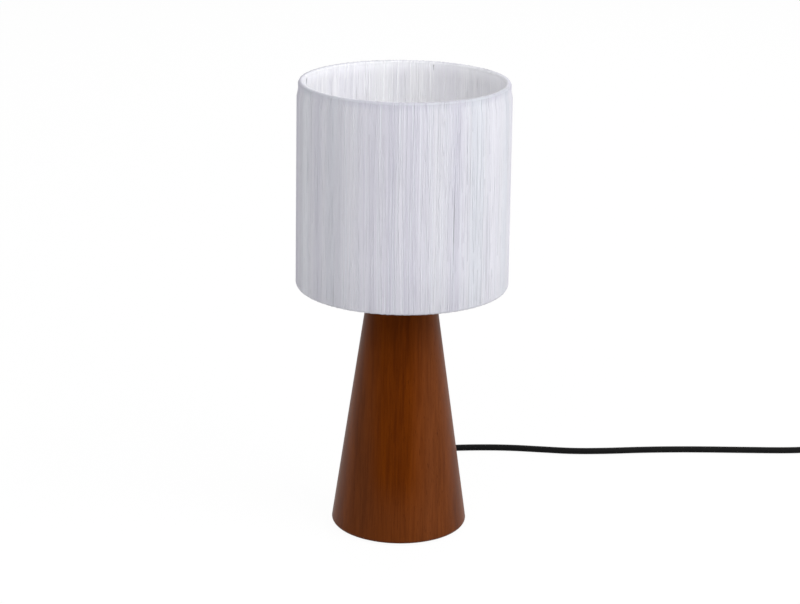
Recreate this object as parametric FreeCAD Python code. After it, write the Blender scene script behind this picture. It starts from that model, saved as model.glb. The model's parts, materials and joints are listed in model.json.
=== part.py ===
import FreeCAD, Part
import math
import os

from FreeCAD import Vector

# Table lamp: a drum shade of wound string on a turned wooden cone, with holder, bulb, lead, switch and plug.
# Millimetres, +Z up. The origin is the middle of the foot, on the table. The lead leaves at the back, +Y.

# Wooden base
foot_radius = 59.3
neck_radius = 30.5
base_height = 200.0
foot_round = 3.0
neck_round = 2.0
base_lift = 1.0
recess_radius = 32.0
recess_ceiling = 50.0
rod_hole_radius = 5.3
lead_height = 11.0
lead_hole_radius = 3.5
grommet_hole_radius = 5.1
grommet_hole_depth = 12.0
spot_face_radius = 7.4
spot_face_depth = 1.4

# Felt pad under the foot, partly sunk in a rebate
pad_radius = 53.0
pad_thickness = 2.0
pad_side_gap = 0.3

# Threaded tube and its fixings
rod_radius = 5.0
rod_bore_radius = 4.0
rod_low_end = 36.0
rod_in_holder = 11.0
washer_radius = 15.0
washer_thickness = 1.5
lock_washer_radius = 9.0
lock_washer_thickness = 2.2
lock_washer_slit = 1.6
nut_across_flats = 14.0
nut_height = 8.0
neck_washer_radius = 16.0
neck_washer_thickness = 2.0
thread_gap = 0.1

# Lead, grommet and cable tie
lead_radius = 3.0
lead_gap = 0.1
table_gap = 0.05
grommet_shank_radius = 5.0
grommet_shank_length = 11.0
grommet_flange_radius = 7.0
grommet_flange_thickness = 2.2
relief_length = 22.0
relief_root_radius = 4.9
relief_tip_radius = 3.8
relief_slots = 4
relief_slot_width = 1.6
relief_slot_depth_share = 0.45
inside_bend_radius = 24.0
tie_wall = 1.2
tie_width = 4.6
tie_head_length = 6.0
tie_head_height = 4.5

# Lampholder, from the neck washer up
holder_boss_radius = 12.0
holder_boss_height = 4.0
holder_cap_radius = 21.0
holder_cone_height = 6.0
holder_cap_height = 19.7
spigot_radius = 18.4
spigot_top = 24.0
cap_cavity_radius = 15.6
cap_floor = 10.0
shell_skirt_low = 20.0
shell_skirt_radius = 22.0
shoulder_height = 26.0
shell_radius = 19.6
shell_height = 60.0
shell_rim_round = 1.2
shell_wall_at_core = 2.6
core_radius = 16.7
core_height = 12.0
core_gap = 0.3
sleeve_inner_radius = 13.65
sleeve_wall = 0.5
sleeve_height = 21.0
sleeve_floor = 0.5
sleeve_floor_hole_radius = 8.0
contact_radius = 4.0
contact_tip_radius = 2.5
contact_height = 2.7
core_wire_radius = 1.1
core_wire_spread = 1.5
sheath_end_below_rod_top = 7.0
terminal_offset = 9.0
terminal_length = 6.0
terminal_width = 7.0
terminal_height = 6.0
terminal_screw_radius = 1.5
terminal_screw_head_radius = 2.6
terminal_screw_head = 1.6
terminal_screw_length = 3.2
grub_radius = 2.0
grub_length = 6.5
grub_height = 6.0
grub_socket_radius = 1.0
grub_socket_depth = 1.8

# Retaining ring on the holder's shell
ring_thread_gap = 0.15
ring_flange_radius = 27.0
ring_flange_thickness = 2.5
ring_body_radius = 23.0
ring_height = 8.0
ring_ribs = 24
ring_rib_radius = 0.7

# Shade: string over wire
shade_low = 216.7
shade_height = 177.3
shade_bottom_radius = 90.8
shade_taper = 0.8
shade_draw_in = 1.2
shade_draw_in_height = 14.0
string_thickness = 1.2
ring_wire_radius = 1.5
ring_wire_gap = 0.5
strut_radius = 1.2
strut_count = 3
strut_first_angle = 73.0
spoke_turn = 6.0
spoke_radius = 1.5
spoke_hole_gap = 0.3
fitter_inner_radius = 20.0
fitter_outer_radius = 28.0
fitter_thickness = 2.4
fitter_play = 0.3

# Bulb
bulb_tip_gap = 0.3
bulb_tip_radius = 4.6
bulb_tip_height = 2.0
insulator_height = 3.5
insulator_top_radius = 11.6
cap_root_radius = 12.8
cap_crest_radius = 13.3
cap_wall = 0.6
cap_height = 20.5
thread_pitch = 3.63
thread_turns = 4
body_foot_radius = 14.0
body_knee_radius = 19.5
body_knee_height = 10.0
body_rim_radius = 28.2
body_height = 30.0
body_wall = 1.8
board_thickness = 2.0
led_count = 8
led_side = 3.5
led_height = 1.0
led_circle_radius = 15.0
diffuser_radius = 30.0
diffuser_wall = 1.4
diffuser_widest = 22.0

# In-line switch
switch_length = 68.0
switch_width = 26.0
switch_height = 19.0
switch_corner_radius = 9.0
switch_edge_round = 2.0
switch_wall = 1.8
switch_split = 9.5
switch_seam_gap = 0.1
switch_port_gap = 0.1
switch_port_wall = 8.0
rocker_half_length = 10.0
rocker_width = 9.6
rocker_shoulder = 4.0
rocker_valley = 2.6
rocker_low = 3.0
rocker_low_half_length = 9.2
rocker_tilt = 8.0
rocker_side_gap = 0.35
rocker_end_gap = 0.85
rocker_pivot_height = 15.5
rocker_pin_radius = 1.0
rocker_pin_length = 1.4
rocker_pin_gap = 0.06
ear_thickness = 1.8
ear_half_width = 4.0
ear_below_pin = 2.2
switch_screw_offset = 27.0
switch_screw_side = 8.0
switch_screw_radius = 1.5
switch_screw_head_radius = 2.7
switch_screw_head = 2.0
switch_screw_length = 13.0
switch_screw_gap = 0.2
switch_screw_sink = 0.5
switch_post_radius = 3.6
contact_strip_length = 12.0
contact_strip_width = 5.0
contact_strip_thickness = 1.0
contact_post_height = 5.0

# Coil of the put-away lead: two layers, wound in on the table and out on top
coil_outer_radius = 44.2
coil_pitch = 6.55
coil_half_turns_in = 6
coil_half_turns_out = 4
coil_tie_wall = 0.8
coil_tie_width = 6.0
coil_tie_gap = 0.3

# Plug with two round pins
plug_boot_length = 24.0
plug_boot_tip_radius = 4.2
plug_boot_root_radius = 6.2
plug_body_length = 34.0
plug_neck_width = 15.0
plug_waist_width = 26.0
plug_face_width = 35.3
plug_thickness = 13.7
plug_edge_round = 2.5
plug_lead_depth = 20.0
pin_radius = 2.0
pin_neck_radius = 1.4
pin_length = 19.0
pin_spacing = 19.0
pin_sleeve_length = 10.0
pin_sleeve_radius = 1.8
pin_depth = 12.0
pin_tip_round = 1.2

# Middle of the lead from the strain relief to the switch, chosen by hand
lead_exit_y = foot_radius + relief_length
lead_on_table = lead_radius + table_gap
run_points = [
    (0.0, lead_exit_y, lead_height),
    (0.0, 97.0, lead_height),
    (1.0, 116.0, 6.4),
    (7.0, 135.0, 3.3),
    (19.0, 151.0, lead_on_table),
    (40.0, 161.5, lead_on_table),
    (70.0, 164.8, lead_on_table),
    (104.0, 164.6, lead_on_table),
    (135.0, 160.2, lead_on_table),
    (166.0, 156.4, lead_on_table),
    (199.0, 158.6, lead_on_table),
    (234.0, 163.4, lead_on_table),
    (278.0, 166.4, lead_on_table),
    (328.0, 167.4, lead_on_table),
    (370.0, 169.6, lead_on_table),
    (392.0, 171.3, 4.2),
    (412.0, 172.0, switch_split),
    (424.0, 172.0, switch_split),
]
switch_start = 416.0
lead_y_at_switch = 172.0
feed_length = 58.0
tail_length = 62.0
slope_shares = [0.0, 0.3, 0.75, 1.0]
tail_shares = [0.0, 0.3, 0.65, 1.0]

# Places worked out from the sizes above
rod_top = base_height + neck_washer_thickness + rod_in_holder
holder_low = base_height + neck_washer_thickness
ring_offset = string_thickness + ring_wire_radius
shade_top = shade_low + shade_height
shade_upper_radius = shade_bottom_radius - shade_taper
shade_top_radius = shade_upper_radius - shade_draw_in
shade_knee_height = shade_top - shade_draw_in_height
top_ring_height = shade_top - ring_offset
bottom_ring_height = shade_low + ring_offset
core_low = holder_low + spigot_top
core_top = core_low + core_height
fitter_low = holder_low + shoulder_height + fitter_play
fitter_middle = fitter_low + fitter_thickness / 2
bulb_low = core_top + contact_height + bulb_tip_gap
bulb_cap_low = bulb_low + bulb_tip_height + insulator_height
bulb_body_low = bulb_cap_low + cap_height
board_low = bulb_body_low + body_height
coil_low_height = lead_on_table + coil_tie_wall + coil_tie_gap
switch_end = switch_start + switch_length
switch_middle = (switch_start + switch_end) / 2
coil_x = switch_end + feed_length
coil_top_y = lead_y_at_switch
strut_angles = [strut_first_angle + n * 360.0 / strut_count for n in range(strut_count)]
spoke_angles = [angle + spoke_turn for angle in strut_angles]
up = Vector(0, 0, 1)
origin = Vector(0, 0, 0)


def base_radius_at(height):
    """Radius of the wooden cone at a height above the table."""
    return foot_radius - (foot_radius - neck_radius) * height / base_height


def save(shape, name):
    """Writes one sub-part and prints its volume."""
    shape.exportStep("parts/" + name + ".step")
    print(name, len(shape.Solids), "solid(s),", round(shape.Volume, 1), "mm3, valid", shape.isValid())


def cylinder(radius, height, low):
    """Upright cylinder about the Z axis, from the height low."""
    return Part.makeCylinder(radius, height, Vector(0, 0, low))


def ring_of(outer, inner, height, low):
    """Upright tube about the Z axis."""
    return cylinder(outer, height, low).cut(cylinder(inner, height, low))


def arc(a, b, c):
    """Arc edge through three points."""
    return Part.Arc(a, b, c).toShape()


def line(a, b):
    """Straight edge."""
    return Part.LineSegment(a, b).toShape()


def turned(outline):
    """Solid turned about the Z axis from radius and height pairs; "via" marks a point that an arc passes."""
    edges = []
    here = Vector(outline[0][0], 0, outline[0][1])
    via = None
    for point in list(outline[1:]) + [outline[0]]:
        spot = Vector(point[0], 0, point[1])
        if len(point) > 2:
            via = spot
            continue
        edges.append(arc(here, via, spot) if via else line(here, spot))
        here = spot
        via = None
    face = Part.Face(Part.Wire(edges))
    return face.revolve(origin, up, 360)


def rounded(path, bend=None):
    """Edges of straight runs joined by tangent arcs, and the arcs' radii."""
    edges = []
    radii = []
    here = path[0]
    for before, corner, after in zip(path, path[1:], path[2:]):
        back = before - corner
        on = after - corner
        half_turn = (math.pi - back.getAngle(on)) / 2
        run_share = 0.45
        reach = run_share * min(back.Length, on.Length)
        if bend:
            reach = bend * math.tan(half_turn)
        radius = reach / math.tan(half_turn)
        radii.append(radius)
        start = corner + back.normalize() * reach
        end = corner + on.normalize() * reach
        inward = (back + on).normalize()
        middle = corner + inward * (radius / math.cos(half_turn) - radius)
        if (start - here).Length > table_gap:
            edges.append(line(here, start))
        edges.append(arc(start, middle, end))
        here = end
    edges.append(line(here, path[-1]))
    return edges, radii


def tube(edges, radius):
    """Round tube along joined edges."""
    wire = Part.Wire(edges)
    first = edges[0]
    start = first.valueAt(first.FirstParameter)
    heading = first.tangentAt(first.FirstParameter)
    section = Part.Wire(Part.makeCircle(radius, start, heading))
    return wire.makePipeShell([section], True, False)


def tube_along(points, radius, bend=None, name=None):
    """Round tube through route points, and its length."""
    path = [Vector(*p) for p in points]
    edges, radii = rounded(path, bend)
    solid = tube(edges, radius)
    length = sum(e.Length for e in edges)
    if name:
        full = math.pi * radius * radius * length
        print(name, "length", round(length, 1), "radii", [round(r, 1) for r in radii])
        print(name, "volume over section times length", round(solid.Volume / full, 4))
    return solid, length


def around(shape, angles):
    """Copies of a shape turned about the Z axis, as separate solids."""
    copies = []
    for angle in angles:
        copy = shape.copy()
        copy.rotate(origin, up, angle)
        copies.append(copy)
    return Part.makeCompound(copies)


def wood_base():
    """Turned cone with rod hole, recess, rebate for the pad and lead hole."""
    rebate_top = pad_thickness
    side_low = base_lift + foot_round
    turn = foot_round / math.sqrt(2)
    low_r = base_radius_at(side_low)
    top_r = base_radius_at(base_height - neck_round)
    bend = neck_round / math.sqrt(2)
    outline = [
        (pad_radius + pad_side_gap, rebate_top),
        (pad_radius + pad_side_gap, base_lift),
        (low_r - foot_round, base_lift),
        (low_r - foot_round + turn, side_low - turn, "via"),
        (low_r, side_low),
        (top_r, base_height - neck_round),
        (top_r - neck_round + bend, base_height - neck_round + bend, "via"),
        (top_r - neck_round, base_height),
        (rod_hole_radius, base_height),
        (rod_hole_radius, recess_ceiling),
        (recess_radius, recess_ceiling),
        (recess_radius, rebate_top),
    ]
    body = turned(outline)
    back = base_radius_at(lead_height)
    start = Vector(0, 0, lead_height)
    out = Vector(0, 1, 0)
    hole = Part.makeCylinder(lead_hole_radius, foot_radius, start, out)
    seat_y = back - spot_face_depth
    bush = Part.makeCylinder(
        grommet_hole_radius, foot_radius, Vector(0, seat_y - grommet_hole_depth, lead_height), out
    )
    face = Part.makeCylinder(spot_face_radius, foot_radius, Vector(0, seat_y, lead_height), out)
    return body.cut(hole).cut(bush).cut(face)


def felt_pad():
    """Soft disc glued in the rebate of the foot."""
    return cylinder(pad_radius, pad_thickness, 0)


def rod_fixings():
    """Threaded tube, washers and nut."""
    rod = ring_of(rod_radius, rod_bore_radius, rod_top - rod_low_end, rod_low_end)
    hole = rod_radius + thread_gap
    low = recess_ceiling - washer_thickness
    washer = ring_of(washer_radius, hole, washer_thickness, low)
    low = low - lock_washer_thickness
    lock = ring_of(lock_washer_radius, hole, lock_washer_thickness, low)
    slit = Part.makeBox(
        lock_washer_radius,
        lock_washer_slit,
        lock_washer_thickness,
        Vector(0, -lock_washer_slit / 2, low),
    )
    lock = lock.cut(slit)
    low = low - nut_height
    corner = nut_across_flats / 2 / math.cos(math.pi / 6)
    corners = [
        Vector(corner * math.cos(n * math.pi / 3), corner * math.sin(n * math.pi / 3), low) for n in range(7)
    ]
    nut = Part.Face(Part.makePolygon(corners)).extrude(Vector(0, 0, nut_height))
    nut = nut.cut(cylinder(hole, nut_height, low))
    neck = ring_of(neck_washer_radius, hole, neck_washer_thickness, base_height)
    return rod, washer, lock, nut, neck


def grommet():
    """Bush with a flange and a slotted taper that guides the lead out of the wood."""
    seat = base_radius_at(lead_height) - spot_face_depth
    tip = lead_exit_y - seat
    outline = [
        (lead_radius + lead_gap, -grommet_shank_length),
        (grommet_shank_radius, -grommet_shank_length),
        (grommet_shank_radius, 0),
        (grommet_flange_radius, 0),
        (grommet_flange_radius, grommet_flange_thickness),
        (relief_root_radius, grommet_flange_thickness),
        (relief_tip_radius, tip),
        (lead_radius + lead_gap, tip),
    ]
    body = turned(outline)
    step = (tip - grommet_flange_thickness) / (relief_slots + 1)
    for n in range(relief_slots):
        low = grommet_flange_thickness + step * (n + 1) - relief_slot_width / 2
        wall = relief_tip_radius - lead_radius - lead_gap
        floor_radius = relief_tip_radius - wall * relief_slot_depth_share
        groove = ring_of(relief_root_radius, floor_radius, relief_slot_width, low)
        body = body.cut(groove)
    body.rotate(origin, Vector(1, 0, 0), -90)
    body.translate(Vector(0, seat, lead_height))
    return body


def inside_lead():
    """Lead from the strain relief through the recess and up the rod, with its cores at the lampholder."""
    top = rod_top - sheath_end_below_rod_top
    points = [(0, lead_exit_y, lead_height), (0, 0, lead_height), (0, 0, top)]
    sheath, length = tube_along(points, lead_radius, inside_bend_radius, "lead_inside")
    bottom = core_low - terminal_height
    cores = []
    for side in (-1, 1):
        route = [
            (side * core_wire_spread, 0, top),
            (side * core_wire_spread, 0, rod_top + core_wire_spread),
            (side * terminal_offset, 0, (rod_top + core_wire_spread + bottom) / 2),
            (side * terminal_offset, 0, bottom + terminal_height / 2),
        ]
        wire, wire_length = tube_along(route, core_wire_radius)
        cores.append(wire)
    return sheath, Part.makeCompound(cores)


def cable_tie():
    """Tie pulled round the lead inside the recess, against the wall."""
    bore = lead_radius + lead_gap
    band = ring_of(bore + tie_wall, bore, tie_width, 0)
    head = Part.makeBox(
        tie_head_length,
        tie_head_height,
        tie_width,
        Vector(-tie_head_length / 2, bore + tie_wall / 2, 0),
    )
    tie = band.fuse(head.cut(cylinder(bore, tie_width, 0))).removeSplitter()
    tie.rotate(origin, Vector(1, 0, 0), -90)
    tie.translate(Vector(0, recess_radius - tie_width - pad_side_gap, lead_height))
    return tie


def holder_cap():
    """Lower half of the lampholder, screwed to the rod."""
    z = holder_low
    bore = rod_radius + thread_gap
    outline = [
        (bore, z),
        (holder_boss_radius, z),
        (holder_boss_radius, z + holder_boss_height),
        (holder_cap_radius, z + holder_boss_height + holder_cone_height),
        (holder_cap_radius, z + holder_cap_height),
        (spigot_radius, z + holder_cap_height),
        (spigot_radius, z + spigot_top),
        (cap_cavity_radius, z + spigot_top),
        (cap_cavity_radius, z + cap_floor),
        (bore, z + cap_floor),
    ]
    middle = Vector(0, 0, z + grub_height)
    hole = Part.makeCylinder(grub_radius + thread_gap, holder_cap_radius, middle, Vector(0, -1, 0))
    return turned(outline).cut(hole)


def grub_screw():
    """Set screw that locks the holder on the rod."""
    start = Vector(0, -rod_radius - thread_gap, holder_low + grub_height)
    out = Vector(0, -1, 0)
    body = Part.makeCylinder(grub_radius, grub_length, start, out)
    mouth = start + out * (grub_length - grub_socket_depth)
    return body.cut(Part.makeCylinder(grub_socket_radius, grub_socket_depth, mouth, out))


def holder_shell():
    """Upper half of the lampholder, with the shoulder that carries the shade."""
    z = holder_low
    top = z + shell_height
    turn = shell_rim_round * (1 - 1 / math.sqrt(2))
    step = core_top + core_gap
    neck = sleeve_inner_radius + sleeve_wall + core_gap
    outline = [
        (spigot_radius + thread_gap, z + shell_skirt_low),
        (shell_skirt_radius, z + shell_skirt_low),
        (shell_skirt_radius, z + shoulder_height),
        (shell_radius, z + shoulder_height),
        (shell_radius, top - shell_rim_round),
        (shell_radius - turn, top - turn, "via"),
        (shell_radius - shell_rim_round, top),
        (neck, top),
        (neck, step),
        (shell_radius - shell_wall_at_core, step),
        (shell_radius - shell_wall_at_core, z + spigot_top + core_gap),
        (spigot_radius + thread_gap, z + spigot_top + core_gap),
    ]
    return turned(outline)


def holder_inside():
    """Insulating core, screw sleeve, centre contact, terminals and their screws."""
    core = cylinder(core_radius, core_height, core_low)
    sleeve = turned(
        [
            (sleeve_floor_hole_radius, core_top),
            (sleeve_inner_radius + sleeve_wall, core_top),
            (sleeve_inner_radius + sleeve_wall, core_top + sleeve_height),
            (sleeve_inner_radius, core_top + sleeve_height),
            (sleeve_inner_radius, core_top + sleeve_floor),
            (sleeve_floor_hole_radius, core_top + sleeve_floor),
        ]
    )
    contact = turned(
        [
            (0, core_top),
            (contact_radius, core_top),
            (contact_tip_radius, core_top + contact_height),
            (0, core_top + contact_height),
        ]
    )
    blocks = []
    screws = []
    out = Vector(0, 1, 0)
    low = core_low - terminal_height
    for side in (-1, 1):
        middle = side * terminal_offset
        corner = Vector(middle - terminal_length / 2, -terminal_width / 2, low)
        block = Part.makeBox(terminal_length, terminal_width, terminal_height, corner)
        wire_hole = Part.makeCylinder(
            core_wire_radius + thread_gap, terminal_height / 2, Vector(middle, 0, low)
        )
        face_y = terminal_width / 2
        start = Vector(middle, face_y - terminal_screw_length / 2, low + terminal_height / 2)
        shaft = Part.makeCylinder(terminal_screw_radius, terminal_screw_length / 2, start, out)
        head_at = Vector(middle, face_y, low + terminal_height / 2)
        head = Part.makeCylinder(terminal_screw_head_radius, terminal_screw_head, head_at, out)
        screws.append(shaft.fuse(head).removeSplitter())
        blocks.append(block.cut(wire_hole).cut(shaft))
    return core, sleeve, contact, Part.makeCompound(blocks), Part.makeCompound(screws)


def retaining_ring():
    """Ribbed ring that holds the shade's fitter down on the shoulder."""
    low = fitter_low + fitter_thickness + fitter_play
    bore = shell_radius + ring_thread_gap
    flange = ring_of(ring_flange_radius, bore, ring_flange_thickness, low)
    body = ring_of(ring_body_radius, bore, ring_height, low)
    ring = flange.fuse(body)
    for n in range(ring_ribs):
        turn = 2 * math.pi * n / ring_ribs
        spot = Vector(ring_body_radius * math.cos(turn), ring_body_radius * math.sin(turn), low)
        ring = ring.fuse(Part.makeCylinder(ring_rib_radius, ring_height, spot))
    return ring.removeSplitter()


def shade_rings():
    """Wire rings at the top and bottom of the shade."""
    top_radius = shade_top_radius - ring_offset
    low_radius = shade_bottom_radius - ring_offset
    top = Part.makeTorus(top_radius, ring_wire_radius, Vector(0, 0, top_ring_height))
    low = Part.makeTorus(low_radius, ring_wire_radius, Vector(0, 0, bottom_ring_height))
    return top, low


def shade_struts(top, low):
    """Three upright wires welded between the rings, inside the string."""
    points = [
        (shade_bottom_radius - ring_offset, 0, bottom_ring_height),
        (shade_upper_radius - ring_offset, 0, shade_knee_height),
        (shade_top_radius - ring_offset, 0, top_ring_height),
    ]
    strut, length = tube_along(points, strut_radius)
    return around(strut.cut(top).cut(low), strut_angles)


def spoke_cylinder(radius):
    """One spoke from the bottom ring up to the fitter, along +X."""
    start = Vector(shade_bottom_radius - ring_offset, 0, bottom_ring_height)
    end = Vector(fitter_outer_radius, 0, fitter_middle)
    return Part.makeCylinder(radius, (end - start).Length, start, end - start)


def fitter():
    """Flat ring that drops over the lampholder."""
    return ring_of(fitter_outer_radius, fitter_inner_radius, fitter_thickness, fitter_low)


def shade_spokes(low, fitter_solid):
    """Three wires that carry the fitter."""
    spoke = spoke_cylinder(spoke_radius).cut(low).cut(fitter_solid)
    return around(spoke, spoke_angles)


def wall_outline(inset):
    """Section of the shade's wall, moved in by inset all round."""
    round_radius = ring_offset - inset
    top_r = shade_top_radius - inset
    upper_r = shade_upper_radius - inset
    low_r = shade_bottom_radius - inset
    across = 2 * round_radius
    return [
        (low_r, bottom_ring_height),
        (upper_r, shade_knee_height),
        (top_r, top_ring_height),
        (top_r - round_radius, top_ring_height + round_radius, "via"),
        (top_r - across, top_ring_height),
        (upper_r - across, shade_knee_height),
        (low_r - across, bottom_ring_height),
        (low_r - round_radius, bottom_ring_height - round_radius, "via"),
        (low_r, bottom_ring_height),
    ]


def string_wrap():
    """The wound string: an outer and an inner layer, joined round both rings, with gaps for the spokes."""
    outside = turned(wall_outline(0)[:-1])
    inside = turned(wall_outline(string_thickness - ring_wire_gap)[:-1])
    wall = outside.cut(inside)
    for angle in spoke_angles:
        gap = spoke_cylinder(spoke_radius + spoke_hole_gap)
        gap.rotate(origin, up, angle)
        wall = wall.cut(gap)
    return wall


def bulb_foot():
    """Contact tip, insulator and screw cap of the bulb."""
    tip_foot_radius = bulb_tip_radius / 2
    tip = turned(
        [
            (0, bulb_low),
            (tip_foot_radius, bulb_low),
            (bulb_tip_radius, bulb_low + bulb_tip_height),
            (0, bulb_low + bulb_tip_height),
        ]
    )
    low = bulb_low + bulb_tip_height
    insulator = turned(
        [
            (0, low),
            (bulb_tip_radius + bulb_tip_gap, low),
            (insulator_top_radius, bulb_cap_low),
            (0, bulb_cap_low),
        ]
    )
    outline = [(cap_root_radius - cap_wall, bulb_cap_low), (cap_root_radius, bulb_cap_low)]
    start = bulb_cap_low + thread_pitch / 2
    outline.append((cap_root_radius, start))
    for n in range(thread_turns):
        foot = start + n * thread_pitch
        outline.append((cap_crest_radius, foot + thread_pitch / 2, "via"))
        outline.append((cap_root_radius, foot + thread_pitch))
    outline.append((cap_root_radius, bulb_body_low))
    outline.append((cap_root_radius - cap_wall, bulb_body_low))
    return tip, insulator, turned(outline)


def bulb_body():
    """Plastic collar between the screw cap and the diffuser."""
    z = bulb_body_low
    outline = [
        (0, z),
        (body_foot_radius, z),
        (body_knee_radius, z + body_knee_height),
        (body_rim_radius, z + body_height),
        (body_rim_radius - body_wall, z + body_height),
        (body_knee_radius - body_wall, z + body_knee_height),
        (body_foot_radius - body_wall, z + body_wall),
        (0, z + body_wall),
    ]
    return turned(outline)


def led_board():
    """Metal board with its light sources, on the rim of the collar."""
    board = cylinder(body_rim_radius - body_wall, board_thickness, board_low)
    for n in range(led_count):
        turn = 2 * math.pi * n / led_count
        corner = Vector(
            led_circle_radius * math.cos(turn) - led_side / 2,
            led_circle_radius * math.sin(turn) - led_side / 2,
            board_low + board_thickness,
        )
        board = board.fuse(Part.makeBox(led_side, led_side, led_height, corner))
    return board.removeSplitter()


def bulb_diffuser():
    """Frosted dome, open at the bottom."""
    foot = body_rim_radius
    widest = board_low + diffuser_widest
    middle_share = 0.55
    bulge = foot + (diffuser_radius - foot) * (1 - (1 - middle_share) ** 2)
    middle = board_low + diffuser_widest * middle_share
    lean = math.sqrt(2)
    inner = diffuser_radius - diffuser_wall
    outline = [
        (foot - diffuser_wall, board_low),
        (foot, board_low),
        (bulge, middle, "via"),
        (diffuser_radius, widest),
        (diffuser_radius / lean, widest + diffuser_radius / lean, "via"),
        (0, widest + diffuser_radius),
        (0, widest + inner),
        (inner / lean, widest + inner / lean, "via"),
        (inner, widest),
        (bulge - diffuser_wall, middle, "via"),
    ]
    return turned(outline)


def switch_block(inset, low, high):
    """Long rounded block of the switch, between two heights, moved in by inset."""
    length = switch_length - 2 * inset
    width = switch_width - 2 * inset
    corner = switch_corner_radius - inset
    block = Part.makeBox(length, width, high - low, Vector(-length / 2, -width / 2, low))
    return block.makeFillet(corner, [e for e in block.Edges if e.BoundBox.ZLength > (high - low) / 2])


def to_switch(shape):
    """Moves a shape from the middle of the switch to its place on the lead."""
    shape.translate(Vector(switch_middle, lead_y_at_switch, 0))
    return shape


def rounded_rim(block, height):
    """Rounds the flat rim edges of a block at a height."""
    rim = [
        e
        for e in block.Edges
        if abs(e.BoundBox.ZMin - height) < switch_seam_gap and e.BoundBox.ZLength < switch_seam_gap
    ]
    return block.makeFillet(switch_edge_round, rim)


def lead_port():
    """Passages for the lead at both ends of the switch."""
    along = Vector(1, 0, 0)
    start = Vector(-switch_length, 0, switch_split)
    return Part.makeCylinder(lead_radius + switch_port_gap, 2 * switch_length, start, along)


def screw_places():
    """Middle of each switch screw."""
    return [(-switch_screw_offset, switch_screw_side), (switch_screw_offset, -switch_screw_side)]


def switch_base():
    """Lower half of the switch, a tray with solid ends round the lead."""
    block = rounded_rim(switch_block(0, 0, switch_split), 0)
    hollow = switch_block(switch_wall, switch_wall, switch_split)
    ends = switch_length - 2 * switch_port_wall
    keep = Part.makeBox(ends, switch_width, switch_split, Vector(-ends / 2, -switch_width / 2, 0))
    tray = block.cut(hollow.common(keep))
    for x, y in screw_places():
        post = Part.makeCylinder(switch_post_radius, switch_split - switch_wall, Vector(x, y, switch_wall))
        tray = tray.fuse(post)
        tray = tray.cut(
            Part.makeCylinder(switch_screw_radius + switch_screw_gap, switch_split, Vector(x, y, 0))
        )
        tray = tray.cut(
            Part.makeCylinder(switch_screw_head_radius + switch_screw_gap, switch_screw_head, Vector(x, y, 0))
        )
    return to_switch(tray.cut(lead_port()).removeSplitter())


def switch_cover():
    """Upper half of the switch, with the rocker's window and its two ears."""
    low = switch_split + switch_seam_gap
    block = rounded_rim(switch_block(0, low, switch_height), switch_height)
    hollow = switch_block(switch_wall, low, switch_height - switch_wall)
    ends = switch_length - 2 * switch_port_wall
    keep = Part.makeBox(ends, switch_width, switch_height, Vector(-ends / 2, -switch_width / 2, 0))
    cover = block.cut(hollow.common(keep))
    inner_y = rocker_width / 2 + rocker_side_gap
    for side in (-1, 1):
        y = inner_y if side > 0 else -inner_y - ear_thickness
        ear_low = rocker_pivot_height - ear_below_pin
        ear = Part.makeBox(
            2 * ear_half_width,
            ear_thickness,
            switch_height - switch_wall - ear_low,
            Vector(-ear_half_width, y, ear_low),
        )
        cover = cover.fuse(ear)
    window_half = rocker_half_length + rocker_end_gap
    window = Part.makeBox(
        2 * window_half, 2 * inner_y, switch_height, Vector(-window_half, -inner_y, low)
    )
    cover = cover.cut(window)
    pin_hole = Part.makeCylinder(
        rocker_pin_radius + rocker_pin_gap,
        2 * (inner_y + rocker_pin_length + rocker_side_gap),
        Vector(0, -inner_y - rocker_pin_length - rocker_side_gap, rocker_pivot_height),
        Vector(0, 1, 0),
    )
    cover = cover.cut(pin_hole)
    for x, y in screw_places():
        post = Part.makeCylinder(switch_post_radius, switch_height - switch_wall - low, Vector(x, y, low))
        cover = cover.fuse(post)
        depth = switch_screw_sink + switch_screw_length + switch_screw_gap
        cover = cover.cut(Part.makeCylinder(switch_screw_radius + thread_gap, depth, Vector(x, y, 0)))
    return to_switch(cover.cut(lead_port()).removeSplitter())


def switch_rocker():
    """Rocker with a shallow valley, resting in its off position."""
    outline = [
        Vector(-rocker_half_length, 0, rocker_shoulder),
        Vector(0, 0, rocker_valley),
        Vector(rocker_half_length, 0, rocker_shoulder),
        Vector(rocker_low_half_length, 0, -rocker_low),
        Vector(-rocker_low_half_length, 0, -rocker_low),
        Vector(-rocker_half_length, 0, rocker_shoulder),
    ]
    body = Part.Face(Part.makePolygon(outline)).extrude(Vector(0, rocker_width, 0))
    body.translate(Vector(0, -rocker_width / 2, 0))
    pin_reach = rocker_width / 2 + rocker_side_gap + rocker_pin_length
    pin = Part.makeCylinder(rocker_pin_radius, 2 * pin_reach, Vector(0, -pin_reach, 0), Vector(0, 1, 0))
    body = body.fuse(pin).removeSplitter()
    body.rotate(origin, Vector(0, 1, 0), -rocker_tilt)
    body.translate(Vector(0, 0, rocker_pivot_height))
    return to_switch(body)


def switch_screws():
    """Two screws that close the switch from below."""
    screws = []
    for x, y in screw_places():
        start = Vector(x, y, switch_screw_sink)
        shaft = Part.makeCylinder(switch_screw_radius, switch_screw_length, start)
        head = Part.makeCylinder(switch_screw_head_radius, switch_screw_head - switch_screw_sink, start)
        screws.append(shaft.fuse(head).removeSplitter())
    return to_switch(Part.makeCompound(screws))


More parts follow.
